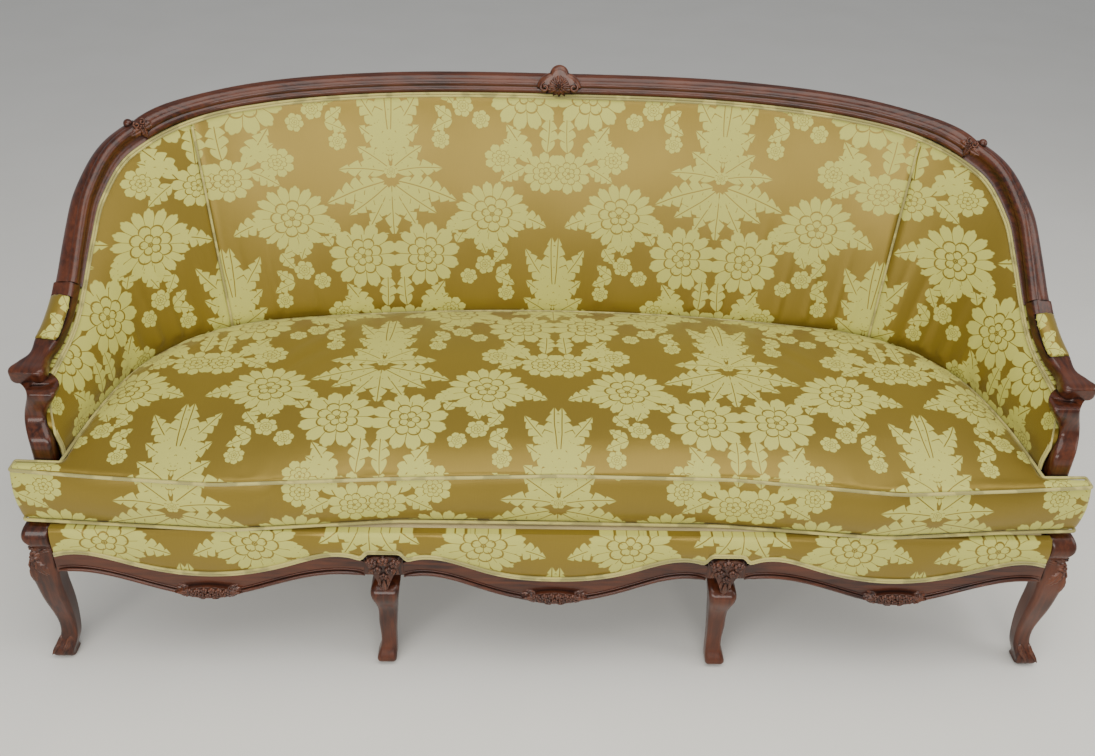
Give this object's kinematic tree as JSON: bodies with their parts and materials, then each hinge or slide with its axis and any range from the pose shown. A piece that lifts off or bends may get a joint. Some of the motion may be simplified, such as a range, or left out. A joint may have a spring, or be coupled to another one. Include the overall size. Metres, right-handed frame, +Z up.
{
  "type": "cabriole sofa",
  "caption": "Louis XV style cabriole sofa: carved show-wood frame, basket back in three panels, padded arms, loose boxed seat cushion in a damask weave.",
  "frame": {"origin": "on the floor, under the middle of the sofa's bounding box", "axes": "+Z up, -Y towards the front of the seat, +X along the length (to the right seen from the front)"},
  "size_m": [1.9638, 0.7858, 0.9679],
  "materials": {
    "show_wood": "satin",
    "frame_wood": "matte",
    "damask": "satin",
    "welt": "satin",
    "deck_cloth": "matte",
    "jute": "matte",
    "black_cloth": "matte",
    "spring_steel": "satin",
    "steel": "satin"
  },
  "bodies": {
    "frame": {"top_rail_center": "show_wood", "top_rail_right": "show_wood", "top_rail_left": "show_wood", "crest_carving": "show_wood", "arm_right": "show_wood", "arm_left": "show_wood", "arm_stump_right": "show_wood", "arm_stump_left": "show_wood", "front_leg_corner_right": "show_wood", "front_leg_corner_left": "show_wood", "front_leg_middle_right": "show_wood", "front_leg_middle_left": "show_wood", "rear_leg_middle_right": "show_wood", "rear_leg_middle_left": "show_wood", "rear_leg_corner_right": "show_wood", "rear_leg_corner_left": "show_wood", "front_rail_right": "show_wood", "front_rail_left": "show_wood", "front_rail_center": "show_wood", "back_seat_rail_center": "frame_wood", "back_seat_rail_right": "frame_wood", "back_seat_rail_left": "frame_wood", "side_seat_rail_right": "frame_wood", "side_seat_rail_left": "frame_wood", "back_stay_rail_center": "frame_wood", "back_stay_rail_right": "frame_wood", "back_stay_rail_left": "frame_wood", "corner_block_right": "frame_wood", "corner_block_left": "frame_wood", "webbing_battens": "frame_wood", "seat_brace_right": "frame_wood", "seat_brace_left": "frame_wood", "dowels": "frame_wood", "inside_back_center": "damask", "inside_back_right": "damask", "inside_back_left": "damask", "outside_back": "damask", "outside_side_right": "damask", "outside_side_left": "damask", "arm_pad_right": "damask", "arm_pad_left": "damask", "front_border": "damask", "front_trim": "welt", "back_trim": "welt", "seam_welt_right": "welt", "seam_welt_left": "welt", "seat_deck": "deck_cloth", "seat_burlap": "jute", "seat_webbing": "jute", "back_webbing": "jute", "dust_cover": "black_cloth", "seat_springs": "spring_steel", "block_screws": "steel", "cover_tacks": "steel", "foot_glides": "steel"},
    "cushion": {"seat_cushion": "damask", "cushion_welt_top": "welt", "cushion_welt_bottom": "welt"}
  },
  "joints": [
    {"name": "cushion_lift", "type": "slide", "parent": "frame", "child": "cushion", "axis": [0, -0.7071, 0.7071], "range_m": [0, 0.9]}
  ]
}
